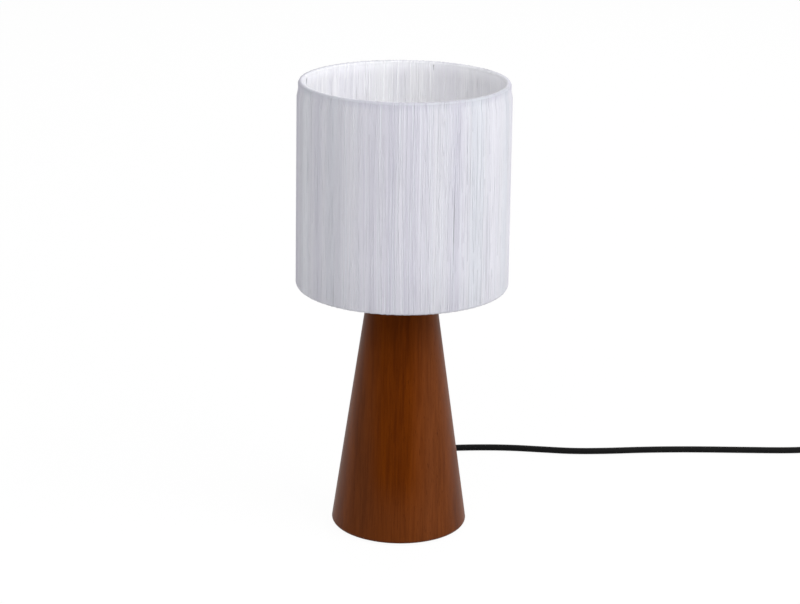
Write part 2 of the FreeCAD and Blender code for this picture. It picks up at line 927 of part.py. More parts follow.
def switch_inside():
    """Contact strips on the tray and the cores between the lead's two ends."""
    strips = []
    cores = []
    along = Vector(1, 0, 0)
    lead_end = switch_length / 2 - switch_port_wall
    side_y = switch_width / 2 - switch_wall - contact_strip_width
    for side in (-1, 1):
        near = side * (contact_strip_width / 2 + contact_strip_length / 2)
        corner = Vector(near - contact_strip_length / 2, -contact_strip_width / 2, switch_wall)
        strip = Part.makeBox(contact_strip_length, contact_strip_width, contact_strip_thickness, corner)
        far_x = near + side * (contact_strip_length / 2 - contact_strip_thickness / 2)
        post = Part.makeBox(
            contact_strip_thickness,
            contact_strip_width,
            contact_post_height,
            Vector(far_x - contact_strip_thickness / 2, -contact_strip_width / 2, switch_wall),
        )
        strips.append(strip.fuse(post).removeSplitter())
        route_height = switch_wall + contact_post_height - core_wire_radius
        route = [
            (side * lead_end, -core_wire_spread, switch_split),
            (side * (lead_end - switch_port_wall / 2), -core_wire_spread, switch_split),
            (side * (abs(far_x) + switch_port_wall / 4), 0, route_height),
            (side * (abs(far_x) + contact_strip_thickness / 2), 0, route_height),
        ]
        wire, length = tube_along(route, core_wire_radius)
        cores.append(wire)
    reach = lead_end - switch_port_wall / 2
    bow = [
        (-lead_end, core_wire_spread, switch_split),
        (-reach, core_wire_spread, switch_split),
        (-reach + switch_port_wall, side_y, route_height),
        (reach - switch_port_wall, side_y, route_height),
        (reach, core_wire_spread, switch_split),
        (lead_end, core_wire_spread, switch_split),
    ]
    wire, length = tube_along(bow, core_wire_radius)
    cores.append(wire)
    return to_switch(Part.makeCompound(strips)), to_switch(Part.makeCompound(cores))


def biarc(p0, t0, p1, t1):
    """Two tangent arcs from p0 with heading t0 to p1 with heading t1."""
    chord = p1 - p0
    both = t0 + t1
    turn = 1 - t0.dot(t1)
    reach = (-chord.dot(both) + math.sqrt(chord.dot(both) ** 2 + 2 * turn * chord.dot(chord))) / (2 * turn)
    q0 = p0 + t0 * reach
    q1 = p1 - t1 * reach
    joint = (q0 + q1) * 0.5
    edges = []
    for a, corner, b in ((p0, q0, joint), (joint, q1, p1)):
        middle = (a + b) * 0.5
        out = corner - middle
        half_chord = (b - a).Length / 2
        rise = math.tan(math.atan2(out.Length, half_chord) / 2) * half_chord
        edges.append(arc(a, middle + out.normalize() * rise, b))
    return edges


def coil_turns():
    """Height of the layer and radius of each half turn, wound in below and out above."""
    half_step = coil_pitch / 2
    inward = [(0, coil_outer_radius - n * half_step) for n in range(coil_half_turns_in)]
    inner = coil_outer_radius - coil_half_turns_in * half_step
    climb_and_out = [(coil_pitch, inner + n * half_step) for n in range(coil_half_turns_out + 1)]
    return inward + climb_and_out


def coil_path():
    """Edges of the coil: straight in, half turns clockwise from above, a last quarter, straight out."""
    spot = Vector(coil_x, coil_top_y, coil_low_height)
    lead_in = spot - Vector(2 * lead_radius, 0, 0)
    edges = [line(lead_in, spot)]
    turns = coil_turns()
    side = 1
    for rise, radius in turns[:-1]:
        end = Vector(coil_x, spot.y - side * 2 * radius, coil_low_height + rise)
        edges += biarc(spot, Vector(side, 0, 0), end, Vector(-side, 0, 0))
        spot = end
        side = -side
    rise, radius = turns[-1]
    end = Vector(coil_x + side * radius, spot.y - side * radius, coil_low_height + rise)
    heading = Vector(0, -side, 0)
    edges += biarc(spot, Vector(side, 0, 0), end, heading)
    out = end + heading * 2 * lead_radius
    edges.append(line(end, out))
    return edges, out, heading


def coil_gap(edges):
    """Least gap of the coiled lead to itself, on points along it."""
    step = lead_radius / 2
    points = []
    for e in edges:
        count = max(2, int(e.Length / step))
        points += e.discretize(count)[:-1]
    skip = int(math.pi * lead_radius * 4 / step)
    cells = {}
    for n, p in enumerate(points):
        key = (int(p.x // coil_pitch), int(p.y // coil_pitch))
        cells.setdefault(key, []).append(n)
    least = coil_outer_radius
    for (a, b), here in cells.items():
        near = [m for i in (-1, 0, 1) for j in (-1, 0, 1) for m in cells.get((a + i, b + j), [])]
        for n in here:
            for m in near:
                if m - n > skip:
                    least = min(least, (points[n] - points[m]).Length)
    return least - 2 * lead_radius


def coil_tie():
    """Strap round the turns on the far side of the coil."""
    radii = [radius for rise, radius in coil_turns()]
    middle_y = coil_top_y - coil_outer_radius
    gap = lead_radius + coil_tie_gap
    x0 = coil_x + min(radii) - gap
    x1 = coil_x + max(radii) + gap
    z0 = coil_low_height - gap
    z1 = coil_low_height + coil_pitch + gap
    wall = coil_tie_wall

    def block(inset):
        box = Part.makeBox(
            x1 - x0 + 2 * inset,
            coil_tie_width,
            z1 - z0 + 2 * inset,
            Vector(x0 - inset, middle_y - coil_tie_width / 2, z0 - inset),
        )
        corners = [e for e in box.Edges if e.BoundBox.YLength > coil_tie_width / 2]
        return box.makeFillet(lead_radius + inset, corners)

    return block(wall).cut(block(0))


def feed_tube():
    """Lead from the switch down to the start of the coil."""
    start = switch_end - switch_port_wall
    length = coil_x - 2 * lead_radius - start
    heights = [switch_split, switch_split, coil_low_height, coil_low_height]
    points = [(start + s * length, lead_y_at_switch, z) for s, z in zip(slope_shares, heights)]
    return tube_along(points, lead_radius, None, "lead_feed")


def tail_tube(start, heading):
    """Lead from the end of the coil down to the plug and into it."""
    middle = plug_thickness / 2
    heights = [start.z, start.z, middle, middle]
    places = [start + heading * s * (tail_length + plug_lead_depth) for s in tail_shares]
    points = [(place.x, place.y, z) for place, z in zip(places, heights)]
    return tube_along(points, lead_radius, None, "lead_tail")


def to_plug(shape, start, heading):
    """Turns a shape made along +X to the plug's heading and moves it to the end of the lead."""
    shape.rotate(origin, up, math.degrees(math.atan2(heading.y, heading.x)))
    place = start + heading * tail_length
    shape.translate(Vector(place.x, place.y, plug_thickness / 2))
    return shape


def plug_body():
    """Moulded plug with a ribbed taper round the lead."""
    x0 = plug_boot_length
    x1 = x0 + plug_body_length
    waist_share = 0.45
    xm = x0 + plug_body_length * waist_share
    sides = [(x0, plug_neck_width), (xm, plug_waist_width), (x1, plug_face_width)]
    outline = [Vector(x, w / 2, -plug_thickness / 2) for x, w in sides]
    outline += [Vector(x, -w / 2, -plug_thickness / 2) for x, w in reversed(sides)]
    outline.append(outline[0])
    slab = Part.Face(Part.makePolygon(outline)).extrude(Vector(0, 0, plug_thickness))
    sides = [e for e in slab.Edges if e.BoundBox.XLength > table_gap]
    slab = slab.makeFillet(plug_edge_round, sides)
    boot = Part.makeCone(
        plug_boot_tip_radius, plug_boot_root_radius, plug_boot_length, origin, Vector(1, 0, 0)
    )
    body = slab.fuse(boot)
    bore = Part.makeCylinder(lead_radius + lead_gap, plug_lead_depth, origin, Vector(1, 0, 0))
    body = body.cut(bore)
    for side in (-1, 1):
        spot = Vector(x1 - pin_depth, side * pin_spacing / 2, 0)
        body = body.cut(Part.makeCylinder(pin_neck_radius, pin_depth, spot, Vector(1, 0, 0)))
    return body.removeSplitter()


def plug_pins():
    """Pins with a thinner sleeved neck and a round tip."""
    face = plug_boot_length + plug_body_length
    turn = pin_tip_round * (1 - 1 / math.sqrt(2))
    outline = [
        (0, -pin_depth),
        (pin_neck_radius, -pin_depth),
        (pin_neck_radius, pin_sleeve_length),
        (pin_radius, pin_sleeve_length),
        (pin_radius, pin_length - pin_tip_round),
        (pin_radius - turn, pin_length - turn, "via"),
        (pin_radius - pin_tip_round, pin_length),
        (0, pin_length),
    ]
    pins = []
    sleeves = []
    for side in (-1, 1):
        pin = turned(outline)
        sleeve = ring_of(pin_sleeve_radius, pin_neck_radius, pin_sleeve_length, 0)
        for shape in (pin, sleeve):
            shape.rotate(origin, Vector(0, 1, 0), 90)
            shape.translate(Vector(face, side * pin_spacing / 2, 0))
        pins.append(pin)
        sleeves.append(sleeve)
    return Part.makeCompound(pins), Part.makeCompound(sleeves)


def main():
    os.makedirs("parts", exist_ok=True)
    save(wood_base(), "wood_base")
    save(felt_pad(), "felt_pad")
    rod, washer, lock, nut, neck = rod_fixings()
    save(rod, "threaded_rod")
    save(washer, "lower_washer")
    save(lock, "lock_washer")
    save(nut, "hex_nut")
    save(neck, "neck_washer")
    save(grommet(), "lead_grommet")
    save(cable_tie(), "cable_tie")
    sheath, cores = inside_lead()
    save(sheath, "lead_inside")
    save(cores, "lead_cores")

    save(holder_cap(), "holder_cap")
    save(grub_screw(), "grub_screw")
    save(holder_shell(), "holder_shell")
    core, sleeve, contact, blocks, screws = holder_inside()
    save(core, "holder_core")
    save(sleeve, "screw_sleeve")
    save(contact, "centre_contact")
    save(blocks, "terminals")
    save(screws, "terminal_screws")
    save(retaining_ring(), "retaining_ring")

    top, low = shade_rings()
    fitter_solid = fitter()
    save(top, "top_ring")
    save(low, "bottom_ring")
    save(shade_struts(top, low), "shade_struts")
    save(shade_spokes(low, fitter_solid), "shade_spokes")
    save(fitter_solid, "fitter_ring")
    save(string_wrap(), "string_wrap")

    tip, insulator, cap = bulb_foot()
    save(tip, "bulb_tip")
    save(insulator, "bulb_insulator")
    save(cap, "bulb_cap")
    save(bulb_body(), "bulb_body")
    save(led_board(), "led_board")
    save(bulb_diffuser(), "bulb_diffuser")

    save(switch_base(), "switch_base")
    save(switch_cover(), "switch_cover")
    save(switch_rocker(), "switch_rocker")
    save(switch_screws(), "switch_screws")
    strips, switch_cores = switch_inside()
    save(strips, "switch_contacts")
    save(switch_cores, "switch_cores")

    run, run_length = tube_along(run_points, lead_radius, None, "lead_run")
    save(run, "lead_run")
    feed, feed_run = feed_tube()
    save(feed, "lead_feed")
    edges, out, heading = coil_path()
    coil = tube(edges, lead_radius)
    coil_length = sum(e.Length for e in edges)
    print("lead_coil length", round(coil_length, 1), "least gap to itself", round(coil_gap(edges), 3))
    full = math.pi * lead_radius ** 2 * coil_length
    print("lead_coil volume over section times length", round(coil.Volume / full, 4))
    save(coil, "lead_coil")
    save(coil_tie(), "coil_tie")
    tail, tail_run = tail_tube(out, heading)
    save(tail, "lead_tail")
    save(to_plug(plug_body(), out, heading), "plug_body")
    pins, sleeves = plug_pins()
    save(to_plug(pins, out, heading), "plug_pins")
    save(to_plug(sleeves, out, heading), "pin_sleeves")
    total = run_length + switch_length - 2 * switch_port_wall + feed_run + coil_length + tail_run
    print("whole lead outside the base", round(total, 1))


main()
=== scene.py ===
import json
import math
import random

import bmesh
import bpy
from mathutils import Matrix, Vector, noise


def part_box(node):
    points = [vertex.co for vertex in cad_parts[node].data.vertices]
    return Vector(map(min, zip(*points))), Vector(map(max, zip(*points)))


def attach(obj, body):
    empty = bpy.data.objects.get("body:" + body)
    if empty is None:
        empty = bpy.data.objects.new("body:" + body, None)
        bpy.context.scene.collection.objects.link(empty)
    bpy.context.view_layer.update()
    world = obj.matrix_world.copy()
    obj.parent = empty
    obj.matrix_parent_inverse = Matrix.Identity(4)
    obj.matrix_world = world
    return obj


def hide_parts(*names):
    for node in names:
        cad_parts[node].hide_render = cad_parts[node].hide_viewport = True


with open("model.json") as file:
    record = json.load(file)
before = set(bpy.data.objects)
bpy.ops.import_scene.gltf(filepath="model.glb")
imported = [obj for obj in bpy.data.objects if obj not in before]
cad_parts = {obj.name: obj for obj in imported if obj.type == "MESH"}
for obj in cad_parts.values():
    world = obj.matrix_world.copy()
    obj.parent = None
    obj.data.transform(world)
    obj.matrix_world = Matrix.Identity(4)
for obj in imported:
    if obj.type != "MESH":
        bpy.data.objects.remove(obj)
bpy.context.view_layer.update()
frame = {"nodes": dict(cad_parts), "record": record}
nodes = frame["nodes"]
MM = 0.001

# Camera, fitted to the photograph: lengths in millimetres, angles in degrees
EYE_TARGET = (-1.442, 0.0, 200.66)
EYE_DISTANCE = 1887.15
EYE_TILT = 17.478
EYE_ROLL = 0.8268
SENSOR = 36.0
FOCAL_PIXELS = 2204.98
PICTURE_WIDTH = 800

# Lead, in millimetres: the points of its route
LEAD_RADIUS = 3.0
ON_TABLE = 3.05
LEAD_RUN = [
    (0.0, 81.3, 11.0), (0.0, 97.0, 11.0), (1.0, 116.0, 6.4), (7.0, 136.0, 3.3),
    (19.0, 153.5, ON_TABLE), (40.0, 164.9, ON_TABLE), (70.0, 168.7, ON_TABLE), (104.0, 169.4, ON_TABLE),
    (135.0, 165.8, ON_TABLE), (166.0, 162.2, ON_TABLE), (199.0, 164.3, ON_TABLE), (234.0, 169.0, ON_TABLE),
    (278.0, 171.8, ON_TABLE), (328.0, 172.0, ON_TABLE), (370.0, 172.2, ON_TABLE), (392.0, 172.3, 4.2),
    (412.0, 172.0, 9.5), (424.0, 172.0, 9.5),
]
LEAD_FEED = [(476.0, 172.0, 9.5), (494.0, 172.0, 9.5), (521.0, 172.0, 4.15), (536.0, 172.0, 4.15)]
LEAD_TAIL = [(579.65, 121.8, 10.7), (579.65, 97.2, 10.7), (579.65, 68.5, 6.85), (579.65, 39.8, 6.85)]

# Coil, in millimetres: its start, its widest half turn, and how many half turns lie below and above
COIL_X = 542.0
COIL_Y = 172.0
COIL_LOW = 4.15
COIL_RADIUS = 44.2
COIL_PITCH = 6.55
COIL_IN = 6
COIL_OUT = 4
COIL_STEPS = 8

# Shade, in millimetres: how far the yarn reaches from the middle of a ring's wire, and the radius and height
# of the rings and of the bends between them
YARN_REACH = 2.7
TOP_RING = (86.1, 391.3)
DIP = (86.0, 386.6)
KNEE = (87.3, 380.0)
LOW_RING = (88.1, 219.4)

# One turn of yarn: its steps round a ring, and the widest seam that closes, in millimetres
ROUND_A_RING = 3
SEAM = 0.02

# Partings of the yarn inside, under the top ring: bearing of each and half its width, in degrees, then how
# far round and how far down a parting pushes the turns near it
PARTINGS = [(73.0, 0.5), (168.0, 2.0), (193.0, 0.5), (313.0, 0.5)]
PARTING_NEAR = 8
PARTING_SPREAD = 1.6
PARTING_DEPTH_SHARE = 0.042
PARTING_EDGE = 0.4

# Tones of the yarn: 0 is its dull colour, 1 its pale one, and less than 0 painted shade
MIDDLE_TONE = 0.54
TONE_SPREAD = 0.05
# The under layer is painted duller than the turns on it: painted shade between the turns
UNDER_SHADE_TONE = 0.25
# Painted shade over the crown of the top ring, in the top CROWN millimetres of the yarn
CROWN_SHADE_TONE = -0.36
CROWN = 0.5
# Painted shade in the partings of the under layer: how much darker, the height where it begins, and over how
# many millimetres it grows to full
PARTED_SHADE_TONE = 1.15
PARTED_LOW = 381.0
PARTED_FADE = 5.0
# Painted shade where a turn lies sunk among the others: how much darker, its length as a share of the
# height, and how often
SUNK_SHADE_TONE = 1.1
SUNK_LENGTH_SHARE = 0.2
SUNK_CHANCE = 0.03

# Bundles of turns that differ together: how finely they change round the shade, where, and how much
BUNDLES = [(12, 38.38, 1.0), (5, 75.58, 0.7)]
BUNDLE_TONE = 0.7
# How much more the bundles differ on the left, away from the broad light: painted relief shade of the turns
BUNDLE_SHADE_SIDE = 0.35

# Casts of the yarn: 0 is light blue, 1 is lilac, and between them it is plain
MIDDLE_CAST = 0.6
CAST_CHANGE = 3.5
CAST_LAYER = 40.0
CAST_DEPTH = 1.3
CAST_SPREAD = 0.04

# Width of a turn as a share of the yarn's, and how its line wavers up the outside and up the inside
WIDTH_SHARES = (0.78, 1.25)
WAVER_CHANGE = 1.1
WAVER_START = 50
WAVER_OUTSIDE = 0.0
WAVER_INSIDE = 9.0

# Under layer of yarn, in millimetres: its depth under the outside, and the sides of its round forms
UNDER_DEPTH = 0.75
UNDER_STEPS = 8
UNDER_SIDES = 240

# Stained wood, in metres: where a change in the stain begins and where it is full
FOOT_HEIGHTS = (0.066, 0.02)
# Away from the middle of the front and back, and at the left and right edges, the stain is painted lighter
# and paler: painted reflection
OFF_MIDDLE_EDGES = (0.003, 0.02)
LEFT_REFLECTION_EDGES = (-0.014, -0.036)
RIGHT_REFLECTION_EDGES = (0.006, 0.028)

# Studio, in metres and watts: each light's place, its sides and its power
LIGHTS = [
    ("broad_light", (2.0, -1.2, 1.85), (2.6, 2.6), 63.5),
    ("front_light", (-0.7, -1.8, 1.9), (1.8, 1.4), 22.6),
    ("rear_light", (0.3, 2.4, 1.9), (1.8, 1.4), 18.0),
]
LIGHT_TARGET = (0, 0, 0.2)
SURROUND_COLOUR = (0.99, 0.98, 0.985)
SURROUND_STRENGTH = 0.435
FLOOR_HALF_SIDE = 6.0
FLOOR_DROP = 0.0004
FLOOR_COLOUR = (0.7, 0.7, 0.7)
FLOOR_WHITE = 1.03
FLOOR_WHITE_SHARE = 0.92


# Finishes


class Value:
    """A number, colour or vector that varies over a surface, with Python's own operators for the numbers."""

    def __init__(self, tree, socket):
        self.tree = tree
        self.socket = socket

    def maths(self, operation, other, swapped=False):
        pair = (other, self) if swapped else (self, other)
        return self.tree.node("Math", {"operation": operation}, dict(enumerate(pair)))

    def __add__(self, other):
        return self.maths("ADD", other)

    def __radd__(self, other):
        return self.maths("ADD", other, True)

    def __sub__(self, other):
        return self.maths("SUBTRACT", other)

    def __rsub__(self, other):
        return self.maths("SUBTRACT", other, True)

    def __mul__(self, other):
        return self.maths("MULTIPLY", other)

    def __rmul__(self, other):
        return self.maths("MULTIPLY", other, True)

    def __abs__(self):
        return self.tree.node("Math", {"operation": "ABSOLUTE"}, {0: self})


class Tree:
    """The nodes of a material or of the world."""

    def __init__(self, owner):
        owner.use_nodes = True
        self.nodes = owner.node_tree.nodes
        self.links = owner.node_tree.links

    def feed(self, socket, value):
        if isinstance(value, Value):
            self.links.new(value.socket, socket)
        elif isinstance(value, tuple) and socket.type == "RGBA":
            socket.default_value = (*value[:3], 1.0)
        else:
            socket.default_value = value

    def node(self, kind, settings=None, inputs=None, out=0):
        made = self.nodes.new("ShaderNode" + kind)
        for name, value in (settings or {}).items():
            setattr(made, name, value)
        for key, value in (inputs or {}).items():
            self.feed(made.inputs[key], value)
        return Value(self, made.outputs[out])


class Finish(Tree):
    """A material whose colour, roughness and relief are painted by nodes."""

    def __init__(self, name, **sockets):
        self.material = bpy.data.materials.new(name)
        super().__init__(self.material)
        self.shader = self.nodes["Principled BSDF"]
        self.set(**sockets)

    def set(self, **sockets):
        for name, value in sockets.items():
            self.feed(self.shader.inputs[name.replace("_", " ")], value)

    def place(self, scale=(1.0, 1.0, 1.0), middle=(0.0, 0.0, 0.0)):
        spot = self.node("TexCoord", out="Object")
        return self.node("Mapping", None, {"Vector": spot, "Location": middle, "Scale": scale})

    def along(self, axis):
        return self.node("SeparateXYZ", None, {"Vector": self.place()}, out=axis)

    def painted(self, attribute):
        return self.node("Attribute", {"attribute_name": attribute}, out="Fac")

    def cloud(self, place, scale, detail=2.0, rough=0.5, twist=0.0):
        values = {"Vector": place, "Scale": scale, "Detail": detail, "Roughness": rough, "Distortion": twist}
        return self.node("TexNoise", None, values)

    def between(self, value, low, high):
        return self.node("MapRange", {"interpolation_type": "SMOOTHSTEP"},
                         {"Value": value, "From Min": low, "From Max": high})

    def mix(self, share, first, second):
        return self.node("Mix", {"data_type": "RGBA"}, {0: share, 6: first, 7: second}, out=2)

    def bump(self, height, strength, depth):
        return self.node("Bump", None, {"Height": height, "Strength": strength, "Distance": depth})


def stained_wood():
    """Walnut stain on close-grained wood: broad bands, fine wavering lines, thin dark pores and a thin gloss
    that shows at a slant. It is darker and warmer down the middle of its front and back, lighter and plainer
    at the sides, which is painted reflection, and lighter and plainer towards the foot."""
    finish = Finish("stained_wood", Coat_Roughness=0.3, Specular_IOR_Level=0.013, Sheen_Weight=0.03,
                    Sheen_Roughness=0.4)
    broad = finish.cloud(finish.place((1.0, 0.45, 0.07), (0.4, 0.0, 0.0)), 26.0, 2.0, 0.5, 0.15)
    bands = finish.cloud(finish.place((1.0, 0.3, 0.03), (0.7, 0.2, 0.0)), 130.0, 3.0, 0.6, 0.25)
    lines = finish.cloud(finish.place((1.0, 0.3, 0.016)), 560.0, 4.0, 0.7, 0.15)
    pores = finish.cloud(finish.place((1.0, 0.5, 0.045), (0.3, 0.1, 0.0)), 1500.0, 1.0, 0.4)
    pore = finish.between(pores, 0.66, 0.74) * finish.between(broad + 0.3 * bands, 0.5, 0.8)
    across = finish.along("X") + 0.012 * (bands - 0.5) - 0.001
    height = finish.along("Z") + 0.03 * (broad - 0.5)
    foot = finish.between(height, *FOOT_HEIGHTS)
    # Lighter away from the middle of the front and back: painted reflection; lighter towards the foot as
    # well
    lighter_off_middle_and_foot = finish.between(abs(across), *OFF_MIDDLE_EDGES)
    lighter_off_middle_and_foot = lighter_off_middle_and_foot + (1.0 - lighter_off_middle_and_foot) * foot * 0.75
    tone = finish.between(broad, 0.3, 0.7) * 0.22 + finish.between(bands, 0.3, 0.7) * 0.28
    tone = tone + finish.between(lines, 0.28, 0.72) * 0.28 + lighter_off_middle_and_foot * 0.22
    warm = finish.mix(tone, (0.048, 0.007, 0.0002), (0.152, 0.032, 0.001))
    plain = finish.mix(tone, (0.056, 0.013, 0.0035), (0.158, 0.043, 0.0105))
    # Paler, greyer stain at the left and right edges: painted reflection; paler towards the foot as well
    sides = finish.between(across, *LEFT_REFLECTION_EDGES) + finish.between(across, *RIGHT_REFLECTION_EDGES)
    colour = finish.mix(sides + (1.0 - sides) * foot * 0.6, warm, plain)
    colour = finish.mix(pore * 0.45, colour, (0.03, 0.006, 0.001))
    rough = 0.36 + 0.12 * finish.between(lines, 0.3, 0.7) + 0.15 * pore
    slant = finish.between(finish.node("LayerWeight", None, {"Blend": 0.5}, out="Facing"), 0.25, 0.6)
    finish.set(Base_Color=colour, Roughness=rough, Coat_Weight=0.012 + 0.14 * slant - pore * 0.01)
    finish.set(Normal=finish.bump(lines * 0.5 - pore * 0.6, 0.12, 0.0004))
    return finish.material


def paper_string(name, shift):
    """Twisted white yarn: matt, uneven from turn to turn, with lilac, plain and light blue casts;
    within the shade it is painted far paler, as painted light.
    """
    finish = Finish(name, Sheen_Weight=0.1, Sheen_Roughness=0.5, Specular_IOR_Level=0.2)
    strand, cast, inner = finish.painted("strand"), finish.painted("cast"), finish.painted("inner")
    fibre = finish.cloud(finish.place((1.0, 1.0, 0.12), (shift, 0.0, 0.0)), 2600.0, 3.0, 0.6)
    patch = finish.cloud(finish.place((1.0, 1.0, 0.1), (0.0, shift, 0.0)), 60.0, 2.0, 0.5)
    tone = strand * 0.78 + finish.between(fibre, 0.25, 0.75) * 0.12
    tone = tone + finish.between(patch, 0.3, 0.7) * 0.1
    lilac = finish.mix(tone, (0.602, 0.594, 0.671), (0.725, 0.723, 0.774))
    plain = finish.mix(tone, (0.608, 0.613, 0.661), (0.731, 0.731, 0.769))
    blue = finish.mix(tone, (0.6, 0.618, 0.671), (0.721, 0.729, 0.774))
    outside = finish.mix(cast, finish.mix(finish.between(cast, 0.25, 0.05), plain, blue), lilac)
    # Within the shade the same yarn is painted far paler: painted light that stands in for light coming
    # through the yarn.
    lit_inside = finish.mix(cast * 0.5, finish.mix(tone, (0.905, 0.91, 0.935), (0.95, 0.95, 0.96)),
                        finish.mix(tone, (0.885, 0.88, 0.94), (0.935, 0.935, 0.96)))
    colour = finish.mix(inner, outside, lit_inside)
    # Below zero the yarn turns dark grey: painted shade in the partings, along sunk turns and over the top
    # ring's crown
    colour = finish.mix(finish.between(strand, -0.2, -1.0), colour, (0.2, 0.2, 0.22))
    finish.set(Base_Color=colour, Roughness=0.78 + 0.1 * fibre)
    finish.set(Normal=finish.bump(fibre, 0.25, 0.0002))
    return finish.material


def sheath():
    """Smooth black flexible sheath with a faint drawn texture."""
    finish = Finish("lead_sheath", Specular_IOR_Level=0.07)
    grain = finish.cloud(finish.place(), 900.0, 3.0, 0.6)
    worn = finish.cloud(finish.place(), 70.0, 2.0)
    colour = finish.mix(finish.between(worn, 0.3, 0.7), (0.0035, 0.0035, 0.004), (0.0065, 0.0064, 0.0062))
    finish.set(Base_Color=colour, Roughness=0.5 + 0.16 * finish.between(worn, 0.3, 0.75))
    finish.set(Normal=finish.bump(grain, 0.12, 0.0003))
    return finish.material


def moulded(name, dark, light, rough, grain_scale=1400.0, relief=0.25, **sockets):
    """Moulded plastic, rubber or glass with a fine even texture and slightly uneven gloss."""
    finish = Finish(name, **sockets)
    grain = finish.cloud(finish.place(), grain_scale, 2.0, 0.6)
    cloud = finish.cloud(finish.place(), 90.0, 3.0)
    finish.set(Base_Color=finish.mix(finish.between(cloud, 0.25, 0.75), dark, light))
    finish.set(Roughness=rough + 0.12 * finish.between(cloud, 0.3, 0.7))
    finish.set(Normal=finish.bump(grain, relief, 0.0002))
    return finish.material


def metal(name, dark, light, rough, stretch=(1.0, 1.0, 1.0)):
    """Plated or bare metal with faint tool marks and uneven shine."""
    finish = Finish(name, Metallic=1.0)
    marks = finish.cloud(finish.place(stretch), 1500.0, 2.0, 0.6)
    cloud = finish.cloud(finish.place(), 120.0, 3.0)
    finish.set(Base_Color=finish.mix(finish.between(cloud, 0.25, 0.75), dark, light))
    finish.set(Roughness=rough + 0.14 * finish.between(marks, 0.3, 0.7))
    finish.set(Normal=finish.bump(marks, 0.1, 0.0001))
    return finish.material


def powder_coat():
    """White powder coat on wire: a soft orange-peel."""
    finish = Finish("shade_wire", Specular_IOR_Level=0.5)
    peel = finish.cloud(finish.place(), 1100.0, 2.0, 0.4)
    dust = finish.cloud(finish.place(), 60.0, 3.0)
    finish.set(Base_Color=finish.mix(finish.between(dust, 0.3, 0.7), (0.76, 0.76, 0.78), (0.84, 0.84, 0.86)))
    finish.set(Roughness=0.38 + 0.1 * peel, Normal=finish.bump(peel, 0.25, 0.0002))
    return finish.material


def felt():
    """Short black felt, matt, with lint and pressed patches."""
    finish = Finish("felt", Sheen_Weight=0.35, Sheen_Roughness=0.6)
    nap = finish.cloud(finish.place(), 1900.0, 4.0, 0.75)
    press = finish.cloud(finish.place(), 45.0, 3.0)
    lint = finish.between(finish.cloud(finish.place(), 520.0, 1.0), 0.74, 0.78)
    colour = finish.mix(finish.between(press, 0.3, 0.7), (0.011, 0.011, 0.012), (0.026, 0.025, 0.025))
    colour = finish.mix(lint * 0.5, colour, (0.12, 0.12, 0.12))
    finish.set(Base_Color=colour, Roughness=0.93, Normal=finish.bump(nap, 0.7, 0.0006))
    return finish.material


def opal():
    """Frosted dome of the bulb, unlit and a little warm, into which light sinks a little way."""
    finish = Finish("opal_plastic", Subsurface_Weight=0.25, Subsurface_Scale=0.004, Specular_IOR_Level=0.4)
    frost = finish.cloud(finish.place(), 1800.0, 2.0)
    tint = finish.between(finish.cloud(finish.place(), 30.0, 2.0), 0.3, 0.7)
    finish.set(Base_Color=finish.mix(tint, (0.83, 0.825, 0.80), (0.88, 0.875, 0.85)))
    finish.set(Roughness=0.42 + 0.1 * frost, Normal=finish.bump(frost, 0.08, 0.0001))
    return finish.material


finishes = {
    "stained_wood": stained_wood(),
    "felt": felt(),
    "zinc_steel": metal("zinc_steel", (0.42, 0.44, 0.46), (0.58, 0.59, 0.6), 0.3),
    "black_rubber": moulded("black_rubber", (0.005, 0.005, 0.0055), (0.011, 0.0108, 0.0105), 0.55,
                            Specular_IOR_Level=0.2),
    "black_plastic": moulded("black_plastic", (0.004, 0.004, 0.0045), (0.009, 0.0088, 0.0085), 0.4,
                             Specular_IOR_Level=0.28),
    "rocker_plastic": moulded("rocker_plastic", (0.006, 0.006, 0.0065), (0.012, 0.012, 0.012), 0.24, 2200.0,
                              0.08, Specular_IOR_Level=0.35),
    "lead_sheath": sheath(),
    "core_sleeve": moulded("core_sleeve", (0.03, 0.06, 0.25), (0.05, 0.09, 0.3), 0.35, 1600.0, 0.1),
    "holder_ceramic": moulded("holder_ceramic", (0.70, 0.67, 0.6), (0.78, 0.75, 0.69), 0.45, 700.0, 0.2),
    "nickel_sheet": metal("nickel_sheet", (0.55, 0.54, 0.51), (0.68, 0.67, 0.64), 0.2, (1.0, 1.0, 12.0)),
    "brass": metal("brass", (0.62, 0.41, 0.14), (0.76, 0.55, 0.24), 0.25),
    "nickel_pin": metal("nickel_pin", (0.62, 0.61, 0.58), (0.72, 0.71, 0.68), 0.14, (8.0, 1.0, 1.0)),
    "shade_wire": powder_coat(),
    "black_glass": moulded("black_glass", (0.008, 0.008, 0.01), (0.014, 0.014, 0.016), 0.12, 900.0, 0.04),
    "white_plastic": moulded("white_plastic", (0.76, 0.76, 0.74), (0.82, 0.82, 0.80), 0.4, 1600.0, 0.12),
    "board_metal": moulded("board_metal", (0.74, 0.74, 0.7), (0.82, 0.82, 0.78), 0.35, 1200.0, 0.1),
    "opal_plastic": opal(),
}


# Pieces


def piece(name, shape, material, body):
    """Makes a finished mesh object that rides on a body."""
    mesh = bpy.data.meshes.new(name)
    shape.to_mesh(mesh)
    shape.free()
    mesh.shade_smooth()
    made = bpy.data.objects.new(name, mesh)
    bpy.context.scene.collection.objects.link(made)
    mesh.materials.append(material)
    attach(made, body)
    return made


def dress_nodes():
    """Gives every carried-over node the finish of its slot."""
    for part in frame["record"]["subparts"]:
        finish = finishes.get(part["material_slot"])
        if finish:
            for slot in nodes[part["node"]].material_slots:
                slot.material = finish


def held(value):
    """The value, held between 0 and 1."""
    return min(1.0, max(0.0, value))


def apart(angle, bearing):
    """Degrees from a bearing to an angle, the short way round."""
    return (angle - bearing + 180) % 360 - 180


def round_noise(change, angle, layer):
    """Smooth noise that meets itself after one turn round the shade."""
    return noise.noise(Vector((change * math.cos(angle), change * math.sin(angle), layer)))


